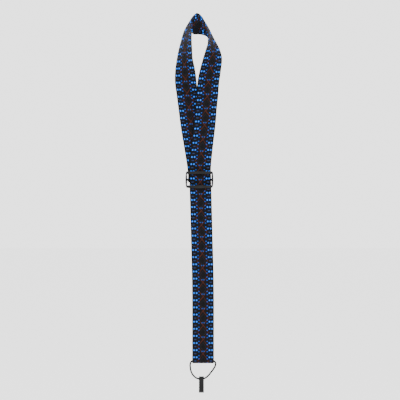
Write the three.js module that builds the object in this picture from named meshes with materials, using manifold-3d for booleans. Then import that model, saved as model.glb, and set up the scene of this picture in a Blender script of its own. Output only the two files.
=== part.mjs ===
// Saxophone neck strap, hanging from the middle of its neck loop.
// Millimetres, +Z up, +X to the wearer's left, front towards -Y, origin at the top of the loop.
import * as THREE from "three";
import { mergeVertices } from "three/addons/utils/BufferGeometryUtils.js";
import Module from "manifold-3d";

const wasm = await Module();
wasm.setup();

// Webbing: a patterned ribbon sewn on a plain backing band
const WEB_WIDTH = 38;
const LAYER = 0.7;
const LAYER_GAP = 0.9;
const HALF_STACK = LAYER + LAYER_GAP / 2;
const ROW_STEPS = 4;
const WEB_COLUMNS = 6;

// Depths of the two legs where they lie one behind the other
const FRONT_Y = -2.2;
const REAR_Y = 1.3;

// Adjusting slider
const SLIDER_X = 4.2;
const SLIDER_Z = -293.5;
const SLIDER_WIDTH = 49.5;
const SLIDER_HEIGHT = 29;
const SLIDER_OPENING = 43;
const SLIDER_BAR = 4.6;
const SLIDER_FRONT_Y = -7.2;
const PLATE_DEPTH = 3.3;
const SIDE_DEPTH = 15;
const CENTRE_BAR_RADIUS = 2;
const CENTRE_BAR_Y = 5.8;

// Hem at the lower end, and the cord that runs through it
const HEM_X = 10.6;
const HEM_Z = -610.5;
const HEM_Y = 1.2;
const CORD_RADIUS = 1.4;

// Hook
const HOOK_X = 7.7;
const HOOK_EYE_Z = -642.4;
const HOOK_WIDTH = 8.8;
const EYE_RADIUS = 4.7;
const EYE_HOLE = 2.4;
const BOWL_Y = 5.6;
const BOWL_DROP = 16.6;
const BOWL_INNER = 3.7;
const BOWL_OUTER = 8.6;
const TIP_RISE = 5;

// Edges of the webbing, station by station: outer edge, then the edge 38 mm away that faces the neck
const LEFT_LEG = [
  [[-15.6, REAR_Y, -284], [22.4, REAR_Y, -284]],
  [[-18, REAR_Y, -265], [20, REAR_Y, -265]],
  [[-22.4, REAR_Y, -238], [15.6, REAR_Y, -238]],
  [[-28.2, REAR_Y, -203], [9.8, REAR_Y, -203]],
  [[-33.4, REAR_Y, -163], [4.6, REAR_Y, -163]],
  [[-36.2, REAR_Y, -142], [1.8, REAR_Y, -142]],
  [[-38.3, 2, -126], [-0.5, -1, -126]],
  [[-38, 3.5, -107], [-3, -9.5, -107]],
  [[-35.4, 6, -84], [-7.6, -19.5, -84]],
  [[-32.2, 8, -66.5], [-8.6, -21.5, -68]],
  [[-28, 9, -50], [-9.3, -23.5, -56]],
  [[-22.5, 9, -32], [-9.6, -23, -47]],
];
const NAPE = [
  [[-12.3, 8, -14], [-9, -20, -40]],
  [[-5, 6, -4.5], [-5, -6, -40]],
  [[0.5, 4, -1.2], [3, 2, -38.8]],
  [[6.5, 5, -5], [12, -4, -41.5]],
  [[13.1, 7, -15], [18.7, -12, -46.5]],
];
const RIGHT_LEG = [
  [[21.5, 9, -29], [19.2, -19, -53]],
  [[28.9, 10, -43.8], [18.7, -22, -60]],
  [[40.3, 8, -66.5], [14.7, -19, -72]],
  [[43.8, 5, -82], [9.8, -12, -86]],
  [[41.5, 1, -101.5], [5.9, -10, -101]],
  [[38.9, -1.5, -122.5], [1.2, -4.5, -122]],
  [[37.1, FRONT_Y, -147], [-0.9, FRONT_Y, -147]],
  [[34.8, FRONT_Y, -169], [-3.2, FRONT_Y, -169]],
  [[32.6, FRONT_Y, -196], [-5.4, FRONT_Y, -196]],
  [[27.7, FRONT_Y, -238], [-10.3, FRONT_Y, -238]],
  [[24.7, FRONT_Y, -268], [-13.3, FRONT_Y, -268]],
];
const TAIL = [
  [[24.4, FRONT_Y, -276], [-13.6, FRONT_Y, -276]],
  [[26, FRONT_Y, -340], [-12, FRONT_Y, -340]],
  [[28, FRONT_Y, -417], [-10, FRONT_Y, -417]],
  [[29.1, -3.6, -460], [-8.9, -3.6, -460]],
  [[29.6, -5, -504], [-8.4, -5, -504]],
  [[29.6, -3.5, -560], [-8.4, -3.5, -560]],
  [[29.6, FRONT_Y, -596], [-8.4, FRONT_Y, -596]],
];
const LOOP = [...LEFT_LEG, ...NAPE, ...RIGHT_LEG, ...TAIL];
const LEFT_SPLIT = 5;
const NAPE_START = LEFT_LEG.length - 1;
const NAPE_END = NAPE_START + NAPE.length + 1;
const TAIL_START = LEFT_LEG.length + NAPE.length + RIGHT_LEG.length;
const JOIN_GAP = 0.05;

// The cord's visible loop, from the left mouth of the hem round to the right one
const CORD_ROUTE = [
  [9.2, 1.2, -610.5], [3, 1.2, -610.5], [-3, 1.2, -610.5], [-7.5, 1.2, -610.6], [-10.4, 1.2, -612.6],
  [-11.9, 1.2, -616.8], [-11.7, 1.2, -622], [-10.8, 1.2, -627.5], [-8.4, 1.2, -633.4], [-4.4, 1.2, -638.2],
  [1.2, 1.2, -641.6], [7.7, 1.2, -642.6], [13.4, 1.2, -641.2], [19.4, 1.2, -636.8], [24.6, 1.2, -630.6],
  [29, 1.2, -624.6], [32, 1.2, -619], [32.4, 1.2, -614.4], [29.6, 1.2, -611], [25, 1.2, -610.5],
  [18, 1.2, -610.5], [12, 1.2, -610.5],
];

const COLOURS = {
  ribbon: { color: 0x1d1f2a, roughness: 0.7, metalness: 0 },
  backing: { color: 0xb9babb, roughness: 0.8, metalness: 0 },
  plastic: { color: 0x17181a, roughness: 0.4, metalness: 0 },
  cord: { color: 0x141416, roughness: 0.8, metalness: 0 },
  thread: { color: 0x24252b, roughness: 0.7, metalness: 0 },
  label: { color: 0x22222a, roughness: 0.8, metalness: 0 },
};

const strap = new THREE.Group();
const columnShares = Array.from({ length: WEB_COLUMNS + 1 }, (_, k) => k / WEB_COLUMNS);

function addNode(name, geometry, look) {
  const mesh = new THREE.Mesh(geometry, new THREE.MeshStandardMaterial(COLOURS[look]));
  mesh.name = name;
  strap.add(mesh);
}

// Samples both edges of a run of stations, keeping the webbing's true width
function sampleRows(stations, from, to, steps) {
  const outer = new THREE.CatmullRomCurve3(stations.map((s) => new THREE.Vector3(...s[0])));
  const inner = new THREE.CatmullRomCurve3(stations.map((s) => new THREE.Vector3(...s[1])));
  const last = stations.length - 1;
  const rows = [];
  for (let i = 0; i <= steps; i += 1) {
    const t = (from + ((to - from) * i) / steps) / last;
    const a = outer.getPoint(t);
    const b = inner.getPoint(t);
    const middle = a.clone().add(b).multiplyScalar(0.5);
    const half = b.clone().sub(a).setLength(WEB_WIDTH / 2);
    rows.push([middle.clone().sub(half), middle.clone().add(half)]);
  }
  return rows;
}

// The true normal of the ruled surface at each column of each row, pointing to the patterned side
function rowNormals(rows) {
  return rows.map((row, i) => {
    const before = rows[Math.max(i - 1, 0)];
    const after = rows[Math.min(i + 1, rows.length - 1)];
    const across = row[1].clone().sub(row[0]);
    const outerStep = after[0].clone().sub(before[0]);
    const innerStep = after[1].clone().sub(before[1]);
    return columnShares.map((share) => across.clone().cross(outerStep.clone().lerp(innerStep, share)).normalize());
  });
}

// A closed band between two offsets from the row surface, both measured along the normals
function bandGeometry(rows, low, high) {
  const normals = rowNormals(rows);
  const ring = 2 * columnShares.length;
  const points = [];
  rows.forEach((row, i) => {
    const surface = columnShares.map((share) => row[0].clone().lerp(row[1], share));
    surface.forEach((p, k) => points.push(p.clone().addScaledVector(normals[i][k], high)));
    surface.reverse().forEach((p, k) => {
      points.push(p.clone().addScaledVector(normals[i][columnShares.length - 1 - k], low));
    });
  });
  const index = [];
  for (let i = 0; i < rows.length - 1; i += 1) {
    for (let k = 0; k < ring; k += 1) {
      const a = i * ring + k;
      const b = i * ring + ((k + 1) % ring);
      index.push(a, b, b + ring, a, b + ring, a + ring);
    }
  }
  const end = (rows.length - 1) * ring;
  for (let k = 0; k < columnShares.length - 1; k += 1) {
    const across = ring - 1 - k;
    index.push(k, across, k + 1, k + 1, across, across - 1);
    index.push(end + k, end + k + 1, end + across, end + k + 1, end + across - 1, end + across);
  }
  const geometry = new THREE.BufferGeometry().setFromPoints(points);
  geometry.setIndex(index);
  return facingOut(geometry);
}

// Turns a closed geometry's faces outwards
function facingOut(geometry) {
  const position = geometry.getAttribute("position");
  const index = geometry.getIndex().array;
  let volume = 0;
  const [a, b, c] = [new THREE.Vector3(), new THREE.Vector3(), new THREE.Vector3()];
  for (let i = 0; i < index.length; i += 3) {
    a.fromBufferAttribute(position, index[i]);
    b.fromBufferAttribute(position, index[i + 1]);
    c.fromBufferAttribute(position, index[i + 2]);
    volume += a.dot(b.clone().cross(c));
  }
  if (volume < 0) {
    geometry.setIndex(Array.from(index).reverse());
  }
  geometry.computeVertexNormals();
  return geometry;
}

// Ribbon on the patterned side, backing behind it
function addWebbing(name, rows) {
  addNode(`${name}_ribbon`, bandGeometry(rows, LAYER_GAP / 2, HALF_STACK), "ribbon");
  addNode(`${name}_backing`, bandGeometry(rows, -HALF_STACK, -LAYER_GAP / 2), "backing");
}

function loopRows(from, to) {
  const steps = Math.round((to - from) * ROW_STEPS);
  return sampleRows(LOOP, from + JOIN_GAP, to - JOIN_GAP, steps);
}

// A straight-sided band of webbing along a path of [y, z] points
function foldRows(centreX, path) {
  const curve = new THREE.CatmullRomCurve3(path.map(([y, z]) => new THREE.Vector3(0, y, z)));
  return curve.getPoints(path.length * 3).map((p) => [
    new THREE.Vector3(centreX + WEB_WIDTH / 2, p.y, p.z),
    new THREE.Vector3(centreX - WEB_WIDTH / 2, p.y, p.z),
  ]);
}

// A half turn of [y, z] points under a bar, from its front to its back
function halfTurn(centreY, centreZ, radius) {
  const points = [];
  for (let i = 0; i <= 6; i += 1) {
    const angle = Math.PI + (Math.PI * i) / 6;
    points.push([centreY + radius * Math.cos(angle), centreZ + radius * Math.sin(angle)]);
  }
  return points;
}

// One line of thread laid across the webbing
function threadLine(centreX, y, z) {
  const thread = new THREE.BoxGeometry(WEB_WIDTH - 4, 0.4, 0.8);
  thread.translate(centreX, y, z);
  return thread;
}

function toSolid(geometry) {
  const bare = geometry.index ? geometry.toNonIndexed() : geometry.clone();
  bare.deleteAttribute("normal");
  bare.deleteAttribute("uv");
  const merged = mergeVertices(bare, 1e-4);
  const vertProperties = new Float32Array(merged.getAttribute("position").array);
  const triVerts = new Uint32Array(merged.getIndex().array);
  return new wasm.Manifold(new wasm.Mesh({ numProp: 3, vertProperties, triVerts }));
}

function fromSolid(solid) {
  const mesh = solid.getMesh();
  const geometry = new THREE.BufferGeometry();
  geometry.setAttribute("position", new THREE.BufferAttribute(new Float32Array(mesh.vertProperties), 3));
  geometry.setIndex(Array.from(mesh.triVerts));
  geometry.computeVertexNormals();
  return geometry;
}

// The slider's front plate: a rounded rectangle with bulging sides and one window
function sliderPlate() {
  const w = SLIDER_WIDTH / 2;
  const h = SLIDER_HEIGHT / 2;
  const corner = 4;
  const shape = new THREE.Shape();
  shape.moveTo(-w + corner, -h);
  shape.quadraticCurveTo(0, -h - 1.2, w - corner, -h);
  shape.quadraticCurveTo(w - 1, -h + 1, w - 1, -h + corner);
  shape.quadraticCurveTo(w + 0.4, 0, w - 1, h - corner);
  shape.quadraticCurveTo(w - 1, h, w - corner, h);
  shape.lineTo(-w + corner, h);
  shape.quadraticCurveTo(-w + 1, h, -w + 1, h - corner);
  shape.quadraticCurveTo(-w - 0.4, 0, -w + 1, -h + corner);
  shape.quadraticCurveTo(-w + 1, -h + 1, -w + corner, -h);
  const window = new THREE.Path();
  const a = SLIDER_OPENING / 2;
  const b = h - SLIDER_BAR;
  window.moveTo(-a, -b);
  window.lineTo(-a, b);
  window.lineTo(a, b);
  window.lineTo(a, -b);
  window.lineTo(-a, -b);
  shape.holes.push(window);
  const plate = new THREE.ExtrudeGeometry(shape, { depth: PLATE_DEPTH, bevelEnabled: false, curveSegments: 8 });
  plate.rotateX(Math.PI / 2);
  plate.translate(0, SLIDER_FRONT_Y + PLATE_DEPTH, 0);
  return plate;
}

// Front plate, two side walls and the centre bar behind the webbing, moulded in one
function sliderGeometry() {
  let solid = toSolid(sliderPlate());
  const wall = (SLIDER_WIDTH - SLIDER_OPENING) / 2 - 0.6;
  for (const side of [-1, 1]) {
    const block = new THREE.BoxGeometry(wall, SIDE_DEPTH, 12);
    block.translate((side * (SLIDER_OPENING + wall)) / 2, SLIDER_FRONT_Y + 0.5 + SIDE_DEPTH / 2, 0);
    solid = solid.add(toSolid(block));
  }
  const bar = new THREE.CylinderGeometry(CENTRE_BAR_RADIUS, CENTRE_BAR_RADIUS, SLIDER_OPENING + wall, 16);
  bar.rotateZ(Math.PI / 2);
  bar.translate(0, CENTRE_BAR_Y, 0);
  solid = solid.add(toSolid(bar));
  const geometry = fromSolid(solid);
  geometry.translate(SLIDER_X, 0, SLIDER_Z);
  return geometry;
}

function circlePoints(radius, count) {
  const points = [];
  for (let i = 0; i < count; i += 1) {
    const angle = (2 * Math.PI * (i + 0.5)) / count;
    points.push(new THREE.Vector2(radius * Math.cos(angle), radius * Math.sin(angle)));
  }
  return points;
}

// J-shaped hook outline in the plane of its bend: the eye at the top, the bowl to one side
function hookGeometry() {
  const shape = new THREE.Shape();
  const bowlZ = -BOWL_DROP;
  const shankFront = BOWL_Y - BOWL_OUTER;
  const shankBack = BOWL_Y - BOWL_INNER;
  const eyeFrontAngle = Math.PI + 0.75;
  const tip = (BOWL_OUTER - BOWL_INNER) / 2;
  const tipZ = bowlZ + TIP_RISE;
  shape.moveTo(shankFront, -6.5);
  shape.absarc(0, 0, EYE_RADIUS, eyeFrontAngle, -0.9, true);
  shape.lineTo(shankBack, -6.5);
  shape.absarc(BOWL_Y, bowlZ, BOWL_INNER, Math.PI, Math.PI * 1.4, false);
  shape.absarc(BOWL_Y, bowlZ, BOWL_INNER, Math.PI * 1.6, Math.PI * 2, false);
  shape.absarc(BOWL_Y + BOWL_INNER + tip, tipZ, tip, Math.PI, 0, true);
  shape.absarc(BOWL_Y, bowlZ, BOWL_OUTER, 0, -Math.PI, true);
  const hole = new THREE.Path();
  hole.setFromPoints(circlePoints(EYE_HOLE, 18));
  shape.holes.push(hole);
  const hook = new THREE.ExtrudeGeometry(shape, { depth: HOOK_WIDTH, bevelEnabled: false, curveSegments: 12 });
  hook.rotateX(Math.PI / 2);
  hook.rotateZ(Math.PI / 2);
  hook.translate(HOOK_X - HOOK_WIDTH / 2, HEM_Y, HOOK_EYE_Z);
  return hook;
}

function cordGeometry() {
  const path = new THREE.CatmullRomCurve3(CORD_ROUTE.map((p) => new THREE.Vector3(...p)));
  const section = new THREE.Shape(circlePoints(CORD_RADIUS, 8));
  return new THREE.ExtrudeGeometry(section, { steps: 44, extrudePath: path });
}

// Webbing of the loop and the tail
addWebbing("left_leg_lower", loopRows(0, LEFT_SPLIT));
addWebbing("left_leg_upper", loopRows(LEFT_SPLIT, NAPE_START));
addNode("nape_band", bandGeometry(loopRows(NAPE_START, NAPE_END), -HALF_STACK, HALF_STACK), "ribbon");
addWebbing("right_leg", loopRows(NAPE_END, TAIL_START));
addWebbing("tail", loopRows(TAIL_START, LOOP.length - 1));

// Blank label on the patterned side at the nape
const labelRows = sampleRows(LOOP, NAPE_START + 1.35, NAPE_START + 3.05, 8).map(([outer, inner]) => [
  outer.clone().lerp(inner, 0.56),
  outer.clone().lerp(inner, 0.96),
]);
addNode("nape_label", bandGeometry(labelRows, HALF_STACK + 0.35, HALF_STACK + 0.85), "label");

// The webbing's fixed end, folded round the slider's centre bar and sewn to itself
const turnRadius = CENTRE_BAR_RADIUS + 0.5 + HALF_STACK;
const wrapRows = foldRows(3.4, [
  [REAR_Y, -285.2],
  [REAR_Y + 0.3, -289],
  ...halfTurn(CENTRE_BAR_Y, SLIDER_Z, turnRadius),
  [8.4, -289],
  [6, -284],
  [4.6, -279],
  [4.6, -258],
]);
addNode("fixed_end_ribbon", bandGeometry(wrapRows, LAYER_GAP / 2, HALF_STACK), "ribbon");
addNode("fixed_end_backing", bandGeometry(wrapRows, -HALF_STACK, -LAYER_GAP / 2), "backing");
addNode("fixed_end_upper_thread", threadLine(3.4, 6.5, -262), "thread");
addNode("fixed_end_lower_thread", threadLine(3.4, 6.5, -274), "thread");

// The hem sleeve round the cord, sewn across the tail
const hemRadius = HEM_Y - FRONT_Y;
const hemRows = foldRows(HEM_X, [
  [FRONT_Y, -597],
  [FRONT_Y, -604],
  ...halfTurn(HEM_Y, HEM_Z, hemRadius),
  [3.7, -606],
  [0.9, -602],
  [0.9, -588],
]);
addNode("hem_ribbon", bandGeometry(hemRows, LAYER_GAP / 2, HALF_STACK), "ribbon");
addNode("hem_backing", bandGeometry(hemRows, -HALF_STACK, -LAYER_GAP / 2), "backing");
addNode("hem_thread", threadLine(HEM_X, FRONT_Y - HALF_STACK - 0.55, -602), "thread");

addNode("slider_frame", sliderGeometry(), "plastic");
addNode("hook_cord", cordGeometry(), "cord");
addNode("hook", hookGeometry(), "plastic");

export default strap;
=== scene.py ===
"""Saxophone neck strap: the visual model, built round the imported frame. Metres, front towards -Y."""
import math

import bmesh
import bpy
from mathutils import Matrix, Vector


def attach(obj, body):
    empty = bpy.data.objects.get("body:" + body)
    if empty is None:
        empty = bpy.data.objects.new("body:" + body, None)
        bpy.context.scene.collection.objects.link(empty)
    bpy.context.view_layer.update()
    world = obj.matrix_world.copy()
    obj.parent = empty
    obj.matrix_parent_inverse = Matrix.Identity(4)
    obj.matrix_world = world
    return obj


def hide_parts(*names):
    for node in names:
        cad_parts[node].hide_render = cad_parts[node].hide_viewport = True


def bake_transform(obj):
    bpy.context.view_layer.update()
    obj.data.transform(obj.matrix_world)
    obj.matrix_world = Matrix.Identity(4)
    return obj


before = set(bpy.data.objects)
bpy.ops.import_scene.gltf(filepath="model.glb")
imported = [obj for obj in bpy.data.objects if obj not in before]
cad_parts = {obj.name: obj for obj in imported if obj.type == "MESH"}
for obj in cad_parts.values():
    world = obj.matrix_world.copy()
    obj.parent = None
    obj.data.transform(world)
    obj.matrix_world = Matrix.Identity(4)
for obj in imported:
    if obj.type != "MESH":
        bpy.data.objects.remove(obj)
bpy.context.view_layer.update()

MM = 0.001

# Webbing in metres. The depths of its front and rear runs are in millimetres, as the stations are
WEB_WIDTH = 38 * MM
LAYER = 0.9 * MM
LAYER_GAP = 0.1 * MM
INNER = LAYER_GAP / 2
OUTER = LAYER_GAP / 2 + LAYER
COLUMNS = 24
STEPS_PER_STATION = 12
STEPS_PER_FOLD_POINT = 6
EDGE_THINNING = 0.45
FRONT_Y = -2.2
REAR_Y = 1.3

# Places of the slider, the fixed end and the hem in millimetres
SLIDER_Z = -293.5
CENTRE_BAR_Y = 5.8
WRAP_RADIUS = 3.65
FIXED_END_X = 3.4
HEM_X = 10.6
HEM_Y = 1.2
HEM_Z = -610.5

# The webbing's two sewn-down flaps behind it, as depths and heights in millimetres
HEM_FLAP = [(3.7, -606), (0.9, -602), (0.9, -588)]
FIXED_END_FLAP = [(8.4, -289), (6, -284), (4.6, -279), (4.6, -258)]

# Cord, stitching and moulded edges: lengths in metres, and how many stitches each line has
CORD_DIAMETER = 2.8 * MM
MOULDED_EDGE = 0.6 * MM
STITCH_MARGIN = 4 * MM
HEM_STITCHES = 14
FIXED_END_STITCHES = 13
# Half of one stitch: depth and height in millimetres, length as a share of the pitch
STITCH_HALF_DEPTH = 0.22
STITCH_HALF_HEIGHT = 0.36
STITCH_HALF_SHARE = 0.4

# Camera, stage and lights in metres
FRAME_WIDTH = 0.7
VIEW_CENTRE_X = 0.00525
VIEW_CENTRE_Z = -0.329
FLOOR_REACH = 6.0
FLOOR_Z = -0.72
WORLD_STRENGTH = 2.6
LIGHT_AIM = (0, 0, -0.33)
LIGHT_SIZE = 1.0
LIGHTS = (("key", (-0.9, -1.3, 0.1), 8), ("fill", (1.1, -1.2, 0.0), 5))

# Jacquard figure in millimetres, mirrored about the webbing's centre line, and its colours
ROW_PITCH = 12.5
LATTICE_HALF_WIDTH = 9.5
LATTICE_EDGE = (10.2, 9.6)
DOT_CENTRES = (15.8, 11.2)
DOT_HALF_SIZE = (1.35, 1.4)
THREAD_BREAKS = (3.2, 3.4)
RIBBON_WEAVE = (0.8, 0.9)
# Smaller spots: centre across and along, then half width and half length
EDGE_SPOT = (13.7, 6.25, 2.2, 0.85)
INNER_SPOT = (7.3, 2.8, 1.2, 0.9)
CENTRE_SPOT = (1.7, 8.2, 1.05, 1.05)
BLACK_GROUND = (0.0022, 0.002, 0.0028)
# Painted shade for the hollows between the ribbon's threads
WEAVE_HOLLOW_SHADE = (0.0015, 0.0015, 0.002)
GREY_FLECK = (0.014, 0.012, 0.018)
RUST_THREAD = (0.08, 0.014, 0.004)
GREY_THREAD = (0.016, 0.014, 0.018)
BRIGHT_BLUE = (0.004, 0.19, 0.95)
MID_BLUE = (0.005, 0.06, 0.34)
DEEP_BLUE = (0.005, 0.05, 0.24)
DULL_BLUE = (0.016, 0.03, 0.1)

# The other surfaces: thread pitches and stitches in millimetres, and each one's low and high colour
BACKING_WEAVE = (1.1, 0.8)
# The backing's grey, with painted shade for its weave's hollows and a painted highlight for its raised
# threads
BACKING_SHADE_AND_HIGHLIGHT = ((0.3, 0.3, 0.31), (0.56, 0.56, 0.57))
BACKING_PATCH = (0.34, 0.33, 0.32)
EDGE_STITCH = (16.6, 0, 0.35, 1.1)
EDGE_STITCH_PITCH = 3.0
EDGE_STITCH_COLOUR = (0.03, 0.03, 0.035)
NAPE_PATCH_WEAVE = (0.5, 0.5)
# The nape patch's near-black, with painted shade for its weave's hollows and a painted highlight for its
# raised threads
NAPE_PATCH_SHADE_AND_HIGHLIGHT = ((0.0015, 0.0015, 0.0025), (0.004, 0.004, 0.007))
PLASTIC_COLOURS = ((0.003, 0.003, 0.0035), (0.007, 0.007, 0.008))
# The cord's black, with painted shade for the braid's grooves and a painted highlight for its ridges
CORD_SHADE_AND_HIGHLIGHT = ((0.001, 0.001, 0.0012), (0.004, 0.004, 0.0045))
CORD_RIDGE_ANGLE = 5200.0        # radians of ridge for each metre
THREAD_COLOURS = ((0.003, 0.003, 0.004), (0.012, 0.012, 0.015))
FLOOR_COLOUR = (0.95, 0.95, 0.95)

# Depth of each surface's relief in metres
RIBBON_RELIEF = 0.00015
BACKING_RELIEF = 0.0002
NAPE_PATCH_RELIEF = 0.0001
PLASTIC_RELIEF = 0.00006
CORD_RELIEF = 0.0002
THREAD_RELIEF = 0.0001

# Dark nape patch: shares of the webbing's width, stations past the nape's start, and metres above the ribbon
NAPE_PATCH_ACROSS = (0.56, 0.96)
NAPE_PATCH_ALONG = (1.35, 3.05)
NAPE_PATCH_LAYER = (0.1 * MM, 0.5 * MM)

# Both edges of the webbing, station by station, in millimetres
LEFT_LEG = [
    [(-15.6, REAR_Y, -284), (22.4, REAR_Y, -284)],
    [(-18, REAR_Y, -265), (20, REAR_Y, -265)],
    [(-22.4, REAR_Y, -238), (15.6, REAR_Y, -238)],
    [(-28.2, REAR_Y, -203), (9.8, REAR_Y, -203)],
    [(-33.4, REAR_Y, -163), (4.6, REAR_Y, -163)],
    [(-36.2, REAR_Y, -142), (1.8, REAR_Y, -142)],
    [(-38.3, 2, -126), (-0.5, -1, -126)],
    [(-38, 3.5, -107), (-3, -9.5, -107)],
    [(-35.4, 6, -84), (-7.6, -19.5, -84)],
    [(-32.2, 8, -66.5), (-8.6, -21.5, -68)],
    [(-28, 9, -50), (-9.3, -23.5, -56)],
    [(-22.5, 9, -32), (-9.6, -23, -47)],
]
NAPE = [
    [(-12.3, 8, -14), (-9, -20, -40)],
    [(-5, 6, -4.5), (-5, -6, -40)],
    [(0.5, 4, -1.2), (3, 2, -38.8)],
    [(6.5, 5, -5), (12, -4, -41.5)],
    [(13.1, 7, -15), (18.7, -12, -46.5)],
]
RIGHT_LEG = [
    [(21.5, 9, -29), (19.2, -19, -53)],
    [(28.9, 10, -43.8), (18.7, -22, -60)],
    [(40.3, 8, -66.5), (14.7, -19, -72)],
    [(43.8, 5, -82), (9.8, -12, -86)],
    [(41.5, 1, -101.5), (5.9, -10, -101)],
    [(38.9, -1.5, -122.5), (1.2, -4.5, -122)],
    [(37.1, FRONT_Y, -147), (-0.9, FRONT_Y, -147)],
    [(34.8, FRONT_Y, -169), (-3.2, FRONT_Y, -169)],
    [(32.6, FRONT_Y, -196), (-5.4, FRONT_Y, -196)],
    [(27.7, FRONT_Y, -238), (-10.3, FRONT_Y, -238)],
    [(24.7, FRONT_Y, -268), (-13.3, FRONT_Y, -268)],
]
TAIL = [
    [(24.4, FRONT_Y, -276), (-13.6, FRONT_Y, -276)],
    [(26, FRONT_Y, -340), (-12, FRONT_Y, -340)],
    [(28, FRONT_Y, -417), (-10, FRONT_Y, -417)],
    [(29.1, -3.6, -460), (-8.9, -3.6, -460)],
    [(29.6, -5, -504), (-8.4, -5, -504)],
    [(29.6, -3.5, -560), (-8.4, -3.5, -560)],
    [(29.6, FRONT_Y, -596), (-8.4, FRONT_Y, -596)],
]
# All stations in order, from the slider up the left leg and down to the hem
LOOP = LEFT_LEG + NAPE + RIGHT_LEG + TAIL
LEFT_SPLIT = 5
NAPE_START = len(LEFT_LEG) - 1

# From inside the hem, out at its left mouth, round through the hook's eye and back in at the right
CORD_ROUTE = [
    (9.2, 1.2, -610.5), (3, 1.2, -610.5), (-3, 1.2, -610.5), (-7.5, 1.2, -610.6), (-10.4, 1.2, -612.6),
    (-11.9, 1.2, -616.8), (-11.7, 1.2, -622), (-10.8, 1.2, -627.5), (-8.4, 1.2, -633.4), (-4.4, 1.2, -638.2),
    (1.2, 1.2, -641.6), (7.7, 1.2, -642.6), (13.4, 1.2, -641.2), (19.4, 1.2, -636.8), (24.6, 1.2, -630.6),
    (29, 1.2, -624.6), (32, 1.2, -619), (32.4, 1.2, -614.4), (29.6, 1.2, -611), (25, 1.2, -610.5),
    (18, 1.2, -610.5), (12, 1.2, -610.5),
]


# ---------------------------------------------------------------- camera

def make_camera():
    data = bpy.data.cameras.new("camera")
    data.lens = 85
    data.sensor_width = 36
    camera = bpy.data.objects.new("camera", data)
    distance = FRAME_WIDTH * data.lens / data.sensor_width
    camera.location = (VIEW_CENTRE_X, -distance, VIEW_CENTRE_Z)
    camera.rotation_euler = (math.radians(90), 0, 0)
    bpy.context.scene.collection.objects.link(camera)
    bpy.context.scene.camera = camera


# ---------------------------------------------------------------- node helpers

def new_material(name, roughness=0.5, specular=0.08):
    material = bpy.data.materials.new(name)
    material.use_nodes = True
    shader = material.node_tree.nodes["Principled BSDF"]
    shader.inputs["Roughness"].default_value = roughness
    shader.inputs["Specular IOR Level"].default_value = specular
    return material, material.node_tree, shader


def math_node(tree, operation, *values):
    node = tree.nodes.new("ShaderNodeMath")
    node.operation = operation
    for socket, value in zip(node.inputs, values):
        if isinstance(value, (int, float)):
            socket.default_value = value
        else:
            tree.links.new(value, socket)
    return node.outputs[0]


def mix_colour(tree, factor, low, high):
    node = tree.nodes.new("ShaderNodeMix")
    node.data_type = "RGBA"
    for name, value in (("Factor", factor), ("A", low), ("B", high)):
        socket = next(s for s in node.inputs if s.name == name and s.enabled)
        if isinstance(value, (int, float)):
            socket.default_value = value
        elif isinstance(value, tuple):
            socket.default_value = (*value, 1)
        else:
            tree.links.new(value, socket)
    return next(s for s in node.outputs if s.enabled)


def web_coordinates(tree):
    """Millimetres across the webbing from its centre line, and millimetres along it."""
    uv = tree.nodes.new("ShaderNodeUVMap")
    uv.uv_map = "web"
    split = tree.nodes.new("ShaderNodeSeparateXYZ")
    tree.links.new(uv.outputs[0], split.inputs[0])
    return split.outputs[0], split.outputs[1]


def spot(tree, x, y, centre_x, centre_y, half_x, half_y):
    """1 inside a soft-edged rounded spot, 0 outside."""
    dx = math_node(tree, "DIVIDE", math_node(tree, "SUBTRACT", x, centre_x), half_x)
    dy = math_node(tree, "DIVIDE", math_node(tree, "SUBTRACT", y, centre_y), half_y)
    reach = math_node(tree, "ADD", math_node(tree, "POWER", math_node(tree, "ABSOLUTE", dx), 2.6),
                      math_node(tree, "POWER", math_node(tree, "ABSOLUTE", dy), 2.6))
    return soft_step(tree, reach, 1.35, 0.75)


def soft_step(tree, value, start, end):
    """Rises from 0 at start to 1 at end."""
    node = tree.nodes.new("ShaderNodeMapRange")
    node.clamp = True
    tree.links.new(value, node.inputs["Value"])
    node.inputs["From Min"].default_value = start
    node.inputs["From Max"].default_value = end
    return node.outputs[0]


def add_bump(tree, shader, height, distance):
    bump = tree.nodes.new("ShaderNodeBump")
    bump.inputs["Distance"].default_value = distance
    bump.inputs["Strength"].default_value = 1.0
    tree.links.new(height, bump.inputs["Height"])
    tree.links.new(bump.outputs[0], shader.inputs["Normal"])


def weave_height(tree, u, v, pitch_u, pitch_v):
    """Threads crossing at the pitches given, from -1 to 1."""
    warp = math_node(tree, "SINE", math_node(tree, "MULTIPLY", u, 2 * math.pi / pitch_u))
    weft = math_node(tree, "SINE", math_node(tree, "MULTIPLY", v, 2 * math.pi / pitch_v))
    return math_node(tree, "MULTIPLY", warp, weft)


def noise(tree, scale, detail=3.0):
    coordinates = tree.nodes.new("ShaderNodeTexCoord")
    texture = tree.nodes.new("ShaderNodeTexNoise")
    texture.inputs["Scale"].default_value = scale
    texture.inputs["Detail"].default_value = detail
    tree.links.new(coordinates.outputs["Object"], texture.inputs["Vector"])
    return texture.outputs["Fac"]


# ---------------------------------------------------------------- materials

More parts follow.
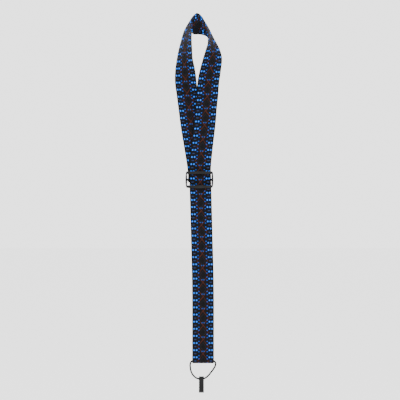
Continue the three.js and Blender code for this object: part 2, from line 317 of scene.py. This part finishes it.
def ribbon_material():
    """Jacquard: black ground, blue dots in rows, rust and grey diamonds between them."""
    material, tree, shader = new_material("jacquard_ribbon", 0.62)
    u, v = web_coordinates(tree)
    au = math_node(tree, "ABSOLUTE", u)
    row = math_node(tree, "SUBTRACT", math_node(tree, "FLOORED_MODULO", v, ROW_PITCH), ROW_PITCH / 2)
    arow = math_node(tree, "ABSOLUTE", row)
    turn = math_node(tree, "SUBTRACT", math_node(tree, "FLOORED_MODULO", v, 2 * ROW_PITCH), ROW_PITCH)
    aturn = math_node(tree, "ABSOLUTE", turn)
    inside = soft_step(tree, au, *LATTICE_EDGE)
    colour = BLACK_GROUND
    broken = soft_step(tree, weave_height(tree, u, v, *THREAD_BREAKS), -0.45, 0.25)
    for share, width, thread in ((1.0, 0.1, RUST_THREAD), (0.55, 0.045, GREY_THREAD)):
        reach = math_node(tree, "ADD", math_node(tree, "DIVIDE", au, LATTICE_HALF_WIDTH),
                          math_node(tree, "DIVIDE", aturn, ROW_PITCH))
        line = math_node(tree, "ABSOLUTE", math_node(tree, "SUBTRACT", reach, share))
        factor = math_node(tree, "MULTIPLY", soft_step(tree, line, width * 1.3, width * 0.5), inside)
        colour = mix_colour(tree, math_node(tree, "MULTIPLY", factor, broken), colour, thread)
    colour = mix_colour(tree, spot(tree, au, arow, *EDGE_SPOT), colour, DULL_BLUE)
    colour = mix_colour(tree, spot(tree, au, arow, *INNER_SPOT), colour, MID_BLUE)
    colour = mix_colour(tree, spot(tree, au, turn, *CENTRE_SPOT), colour, DEEP_BLUE)
    for centre in DOT_CENTRES:
        colour = mix_colour(tree, spot(tree, au, arow, centre, 0, *DOT_HALF_SIZE), colour, BRIGHT_BLUE)
    height = weave_height(tree, u, v, *RIBBON_WEAVE)
    # Painted shade: the ribbon darkens where its weave dips, as shade in the hollows between the threads
    shade = soft_step(tree, height, -1.0, 1.0)
    shade = math_node(tree, "MULTIPLY", math_node(tree, "SUBTRACT", 1.0, shade), 0.45)
    colour = mix_colour(tree, shade, colour, WEAVE_HOLLOW_SHADE)
    fleck = soft_step(tree, noise(tree, 900.0), 0.56, 0.75)
    colour = mix_colour(tree, math_node(tree, "MULTIPLY", fleck, 0.2), colour, GREY_FLECK)
    tree.links.new(colour, shader.inputs["Base Color"])
    add_bump(tree, shader, height, RIBBON_RELIEF)
    return material


def backing_material():
    """Plain light grey weave, with a row of dark stitches along each edge."""
    material, tree, shader = new_material("backing_band", 0.8)
    u, v = web_coordinates(tree)
    height = weave_height(tree, u, v, *BACKING_WEAVE)
    # Painted shade and highlight: the grey darkens in the weave's hollows and lightens on its raised threads
    factor = soft_step(tree, height, -1.0, 1.0)
    colour = mix_colour(tree, factor, *BACKING_SHADE_AND_HIGHLIGHT)
    patches = math_node(tree, "MULTIPLY", noise(tree, 60.0), 0.4)
    colour = mix_colour(tree, patches, colour, BACKING_PATCH)
    au = math_node(tree, "ABSOLUTE", u)
    along = math_node(tree, "FLOORED_MODULO", v, EDGE_STITCH_PITCH)
    stitch_row = math_node(tree, "SUBTRACT", along, EDGE_STITCH_PITCH / 2)
    colour = mix_colour(tree, spot(tree, au, stitch_row, *EDGE_STITCH), colour, EDGE_STITCH_COLOUR)
    tree.links.new(colour, shader.inputs["Base Color"])
    add_bump(tree, shader, height, BACKING_RELIEF)
    return material


# A fine dark weave for the patch laid on the nape
def nape_patch_material():
    material, tree, shader = new_material("dark_nape_patch", 0.75)
    u, v = web_coordinates(tree)
    height = weave_height(tree, u, v, *NAPE_PATCH_WEAVE)
    # Painted shade and highlight: the patch darkens in the weave's hollows and lightens on its raised
    # threads
    raised = soft_step(tree, height, -1.0, 1.0)
    colour = mix_colour(tree, raised, *NAPE_PATCH_SHADE_AND_HIGHLIGHT)
    tree.links.new(colour, shader.inputs["Base Color"])
    add_bump(tree, shader, height, NAPE_PATCH_RELIEF)
    return material


def plastic_material():
    material, tree, shader = new_material("moulded_plastic", specular=0.14)
    grain = noise(tree, 1400.0, 2.0)
    wear = soft_step(tree, noise(tree, 90.0), 0.5, 0.75)
    colour = mix_colour(tree, wear, *PLASTIC_COLOURS)
    tree.links.new(colour, shader.inputs["Base Color"])
    rough = math_node(tree, "ADD", math_node(tree, "MULTIPLY", grain, 0.18), 0.26)
    tree.links.new(rough, shader.inputs["Roughness"])
    add_bump(tree, shader, grain, PLASTIC_RELIEF)
    return material


def cord_material():
    """Braid: two sets of diagonal ridges round the cord."""
    material, tree, shader = new_material("braided_cord", 0.7)
    coordinates = tree.nodes.new("ShaderNodeTexCoord")
    split = tree.nodes.new("ShaderNodeSeparateXYZ")
    tree.links.new(coordinates.outputs["Object"], split.inputs[0])
    x, z = split.outputs[0], split.outputs[2]
    along = math_node(tree, "MULTIPLY", math_node(tree, "ADD", x, z), CORD_RIDGE_ANGLE)
    against = math_node(tree, "MULTIPLY", math_node(tree, "SUBTRACT", x, z), CORD_RIDGE_ANGLE)
    height = math_node(tree, "MULTIPLY", math_node(tree, "SINE", along), math_node(tree, "SINE", against))
    # Painted shade and highlight: the braid darkens in its grooves and lightens on its ridges
    raised = soft_step(tree, height, -1.0, 1.0)
    colour = mix_colour(tree, raised, *CORD_SHADE_AND_HIGHLIGHT)
    tree.links.new(colour, shader.inputs["Base Color"])
    add_bump(tree, shader, height, CORD_RELIEF)
    return material


def thread_material():
    material, tree, shader = new_material("sewing_thread", 0.6)
    twist = noise(tree, 2500.0)
    colour = mix_colour(tree, twist, *THREAD_COLOURS)
    tree.links.new(colour, shader.inputs["Base Color"])
    add_bump(tree, shader, twist, THREAD_RELIEF)
    return material


# ---------------------------------------------------------------- webbing surfaces

def curve_point(points, t):
    """Centripetal Catmull-Rom through the points, t from 0 to 1."""
    last = len(points) - 1
    place = t * last
    i = min(int(place), last - 1)
    w = place - i
    p1, p2 = points[i], points[i + 1]
    p0 = points[i - 1] if i > 0 else 2 * points[0] - points[1]
    p3 = points[i + 2] if i + 2 <= last else 2 * points[last] - points[last - 1]
    d0, d1, d2 = (max((b - a).length, 1e-6) ** 0.5 for a, b in ((p0, p1), (p1, p2), (p2, p3)))
    m1 = ((p1 - p0) / d0 - (p2 - p0) / (d0 + d1) + (p2 - p1) / d1) * d1
    m2 = ((p2 - p1) / d1 - (p3 - p1) / (d1 + d2) + (p3 - p2) / d2) * d1
    square = 3 * p2 - 3 * p1 - 2 * m1 - m2
    cube = 2 * p1 - 2 * p2 + m1 + m2
    return p1 + m1 * w + square * w ** 2 + cube * w ** 3


def loop_rows(start, end):
    """Both edges of the webbing from one station to another, kept at its true width."""
    outer = [Vector(station[0]) * MM for station in LOOP]
    inner = [Vector(station[1]) * MM for station in LOOP]
    steps = round((end - start) * STEPS_PER_STATION)
    rows = []
    for i in range(steps + 1):
        t = (start + (end - start) * i / steps) / (len(LOOP) - 1)
        a, b = curve_point(outer, t), curve_point(inner, t)
        half = (b - a).normalized() * WEB_WIDTH / 2
        rows.append(((a + b) / 2 - half, (a + b) / 2 + half))
    return rows


def fold_rows(centre_x, path):
    """Both edges of a straight-sided fold that follows [y, z] points."""
    points = [Vector((0, y, z)) * MM for y, z in path]
    steps = len(path) * STEPS_PER_FOLD_POINT
    half = WEB_WIDTH / 2
    x = centre_x * MM
    rows = []
    for i in range(steps + 1):
        p = curve_point(points, i / steps)
        rows.append((Vector((x + half, p.y, p.z)), Vector((x - half, p.y, p.z))))
    return rows


def half_turn(centre_y, centre_z, radius):
    """Points under a bar, from its front to its back."""
    angles = [math.pi + math.pi * i / 6 for i in range(7)]
    return [(centre_y + radius * math.cos(a), centre_z + radius * math.sin(a)) for a in angles]


def run_length(rows):
    middles = [(a + b) / 2 for a, b in rows]
    return sum((q - p).length for p, q in zip(middles, middles[1:]))


def band(name, rows, low, high, material, v_start=0.0, columns=COLUMNS):
    """A closed band between two offsets along the surface's normals. Its UV is its place in millimetres."""
    shares = [k / columns for k in range(columns + 1)]
    ring = 2 * len(shares)
    taper = [EDGE_THINNING if k in (0, columns) else 1.0 for k in range(columns + 1)]
    centre = (low + high) / 2
    vertices = []
    places = []
    distance = v_start
    previous = None
    for i, (a, b) in enumerate(rows):
        before, after = rows[max(i - 1, 0)], rows[min(i + 1, len(rows) - 1)]
        middle = (a + b) / 2
        if previous is not None:
            distance += (middle - previous).length
        previous = middle
        across = b - a
        steps = [(after[0] - before[0]).lerp(after[1] - before[1], share) for share in shares]
        normals = [across.cross(step).normalized() for step in steps]
        surface = [a.lerp(b, s) for s in shares]
        width = across.length
        for k, (p, n) in enumerate(zip(surface, normals)):
            vertices.append(p + n * (centre + (high - centre) * taper[k]))
            places.append(((shares[k] - 0.5) * width / MM, distance / MM))
        for k in reversed(range(columns + 1)):
            vertices.append(surface[k] + normals[k] * (centre + (low - centre) * taper[k]))
            places.append(((shares[k] - 0.5) * width / MM, distance / MM))
    faces = []
    for i in range(len(rows) - 1):
        for k in range(ring):
            a, b = i * ring + k, i * ring + (k + 1) % ring
            faces.append((a, b, b + ring, a + ring))
    end = (len(rows) - 1) * ring
    for k in range(columns):
        faces.append((k, ring - 1 - k, ring - 2 - k, k + 1))
        faces.append((end + k, end + k + 1, end + ring - 2 - k, end + ring - 1 - k))
    mesh = bpy.data.meshes.new(name)
    mesh.from_pydata(vertices, [], faces)
    layer = mesh.uv_layers.new(name="web")
    for loop in mesh.loops:
        layer.data[loop.index].uv = places[loop.vertex_index]
    return finish_mesh(name, mesh, material)


def finish_mesh(name, mesh, material):
    """Turns the faces outwards, smooths them and links the object."""
    work = bmesh.new()
    work.from_mesh(mesh)
    bmesh.ops.recalc_face_normals(work, faces=work.faces)
    work.to_mesh(mesh)
    work.free()
    for polygon in mesh.polygons:
        polygon.use_smooth = True
    mesh.materials.append(material)
    piece = bpy.data.objects.new(name, mesh)
    bpy.context.scene.collection.objects.link(piece)
    return piece


def stitch_line(name, centre_x, y, z, count, material):
    """Separate rounded stitches in a line across the webbing."""
    pitch = (WEB_WIDTH - STITCH_MARGIN) / count
    work = bmesh.new()
    for i in range(count):
        made = bmesh.ops.create_icosphere(work, subdivisions=2, radius=1.0)["verts"]
        x = centre_x * MM + (i - (count - 1) / 2) * pitch
        for vertex in made:
            co = vertex.co
            place_y = y * MM + co.y * STITCH_HALF_DEPTH * MM
            place_z = z * MM + co.z * STITCH_HALF_HEIGHT * MM
            vertex.co = Vector((x + co.x * pitch * STITCH_HALF_SHARE, place_y, place_z))
    mesh = bpy.data.meshes.new(name)
    work.to_mesh(mesh)
    work.free()
    return finish_mesh(name, mesh, material)


def softened_copy(name, node, width, material):
    """The frame's own solid with its moulded edges rounded."""
    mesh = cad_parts[node].data.copy()
    mesh.materials.clear()
    piece = finish_mesh(name, mesh, material)
    work = bmesh.new()
    work.from_mesh(mesh)
    bmesh.ops.remove_doubles(work, verts=work.verts, dist=1e-6)
    bmesh.ops.dissolve_limit(work, angle_limit=math.radians(1), verts=work.verts, edges=work.edges)
    work.to_mesh(mesh)
    work.free()
    bevel = piece.modifiers.new("round", "BEVEL")
    bevel.width = width
    bevel.segments = 3
    bevel.limit_method = "ANGLE"
    bevel.angle_limit = math.radians(40)
    return piece


# ---------------------------------------------------------------- build

make_camera()

RIBBON = ribbon_material()
BACKING = backing_material()
PLASTIC = plastic_material()
THREAD = thread_material()


def make_cord():
    data = bpy.data.curves.new("hook_cord_braid", "CURVE")
    data.dimensions = "3D"
    data.bevel_depth = CORD_DIAMETER / 2
    data.bevel_resolution = 6
    data.resolution_u = 8
    data.use_fill_caps = True
    spline = data.splines.new("BEZIER")
    spline.bezier_points.add(len(CORD_ROUTE) - 1)
    for point, place in zip(spline.bezier_points, CORD_ROUTE):
        point.co = Vector(place) * MM
        point.handle_left_type = "AUTO"
        point.handle_right_type = "AUTO"
    data.materials.append(cord_material())
    piece = bpy.data.objects.new("hook_cord_braid", data)
    bpy.context.scene.collection.objects.link(piece)
    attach(piece, "cord")
    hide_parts("hook_cord")


def make_loop():
    """Upper left leg, nape, right leg, tail and hem: one continuous run of webbing in two layers."""
    hem_radius = HEM_Y - FRONT_Y
    hem_path = [(FRONT_Y, -597), (FRONT_Y, -604), *half_turn(HEM_Y, HEM_Z, hem_radius), *HEM_FLAP]
    rows = loop_rows(LEFT_SPLIT, len(LOOP) - 1) + fold_rows(HEM_X, hem_path)
    ribbon = band("loop_ribbon", rows, INNER, OUTER, RIBBON)
    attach(ribbon, "root")
    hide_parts("left_leg_upper_ribbon", "nape_band", "right_leg_ribbon", "tail_ribbon", "hem_ribbon")
    backing = band("loop_backing", rows, -OUTER, -INNER, BACKING)
    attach(backing, "root")
    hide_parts("left_leg_upper_backing", "right_leg_backing", "tail_backing", "hem_backing")
    thread = stitch_line("hem_stitches", HEM_X, FRONT_Y - 1.1, -602, HEM_STITCHES, THREAD)
    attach(thread, "root")
    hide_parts("hem_thread")


def make_left_leg():
    """The leg between the slider and the fixed loop above it, on the same curve as the loop."""
    rows = loop_rows(0, LEFT_SPLIT)
    length = run_length(rows)
    for name, node, low, high, material, slot in (
            ("left_leg_ribbon", "left_leg_lower_ribbon", INNER, OUTER, RIBBON, "ribbon"),
            ("left_leg_backing", "left_leg_lower_backing", -OUTER, -INNER, BACKING, "backing")):
        piece = band(name, rows, low, high, material, v_start=-length)
        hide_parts(node)
        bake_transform(piece)


def make_fixed_end():
    """The end wrapped round the slider's centre bar and sewn to itself behind the left leg."""
    wrap = half_turn(CENTRE_BAR_Y, SLIDER_Z, WRAP_RADIUS)
    path = [(REAR_Y, -284), (REAR_Y + 0.3, -289), *wrap, *FIXED_END_FLAP]
    rows = fold_rows(FIXED_END_X, path)
    for name, node, low, high, material, slot in (
            ("fixed_end_fold", "fixed_end_ribbon", INNER, OUTER, RIBBON, "ribbon"),
            ("fixed_end_lining", "fixed_end_backing", -OUTER, -INNER, BACKING, "backing")):
        piece = band(name, rows, low, high, material)
        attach(piece, "slider")
        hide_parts(node)
    for name, node, z in (("fixed_end_upper_stitches", "fixed_end_upper_thread", -262),
                          ("fixed_end_lower_stitches", "fixed_end_lower_thread", -274)):
        piece = stitch_line(name, FIXED_END_X, 5.7, z, FIXED_END_STITCHES, THREAD)
        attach(piece, "slider")
        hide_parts(node)


# A dark woven patch, a thin layer lying on the nape's ribbon
def make_nape_patch():
    near, far = NAPE_PATCH_ACROSS
    start, end = (NAPE_START + stations for stations in NAPE_PATCH_ALONG)
    low, high = (OUTER + height for height in NAPE_PATCH_LAYER)
    rows = [(a.lerp(b, near), a.lerp(b, far)) for a, b in loop_rows(start, end)]
    piece = band("dark_nape_patch", rows, low, high, nape_patch_material(), columns=10)
    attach(piece, "root")
    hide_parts("nape_label")


def make_hardware():
    for name, node, body in (("slider_moulding", "slider_frame", "slider"),
                             ("hook_moulding", "hook", "hook")):
        piece = softened_copy(name, node, MOULDED_EDGE, PLASTIC)
        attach(piece, body)
        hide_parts(node)


def make_floor():
    mesh = bpy.data.meshes.new("pale_floor")
    corners = [(-1, -1), (1, -1), (1, 1), (-1, 1)]
    mesh.from_pydata([(x * FLOOR_REACH, y * FLOOR_REACH, FLOOR_Z) for x, y in corners], [], [(0, 1, 2, 3)])
    material, _, shader = new_material("pale_floor", 0.9)
    shader.inputs["Base Color"].default_value = (*FLOOR_COLOUR, 1)
    mesh.materials.append(material)
    floor = bpy.data.objects.new("pale_floor", mesh)
    bpy.context.scene.collection.objects.link(floor)


def make_lights():
    world = bpy.data.worlds.new("studio")
    world.use_nodes = True
    background = world.node_tree.nodes["Background"]
    background.inputs["Color"].default_value = (1, 1, 1, 1)
    background.inputs["Strength"].default_value = WORLD_STRENGTH
    bpy.context.scene.world = world
    for name, place, power in LIGHTS:
        data = bpy.data.lights.new(name, "AREA")
        data.energy = power
        data.size = LIGHT_SIZE
        light = bpy.data.objects.new(name, data)
        light.location = place
        aim = Vector(LIGHT_AIM) - Vector(place)
        light.rotation_euler = aim.to_track_quat("-Z", "Y").to_euler()
        bpy.context.scene.collection.objects.link(light)


make_cord()
make_loop()
make_left_leg()
make_fixed_end()
make_nape_patch()
make_hardware()
make_floor()
make_lights()
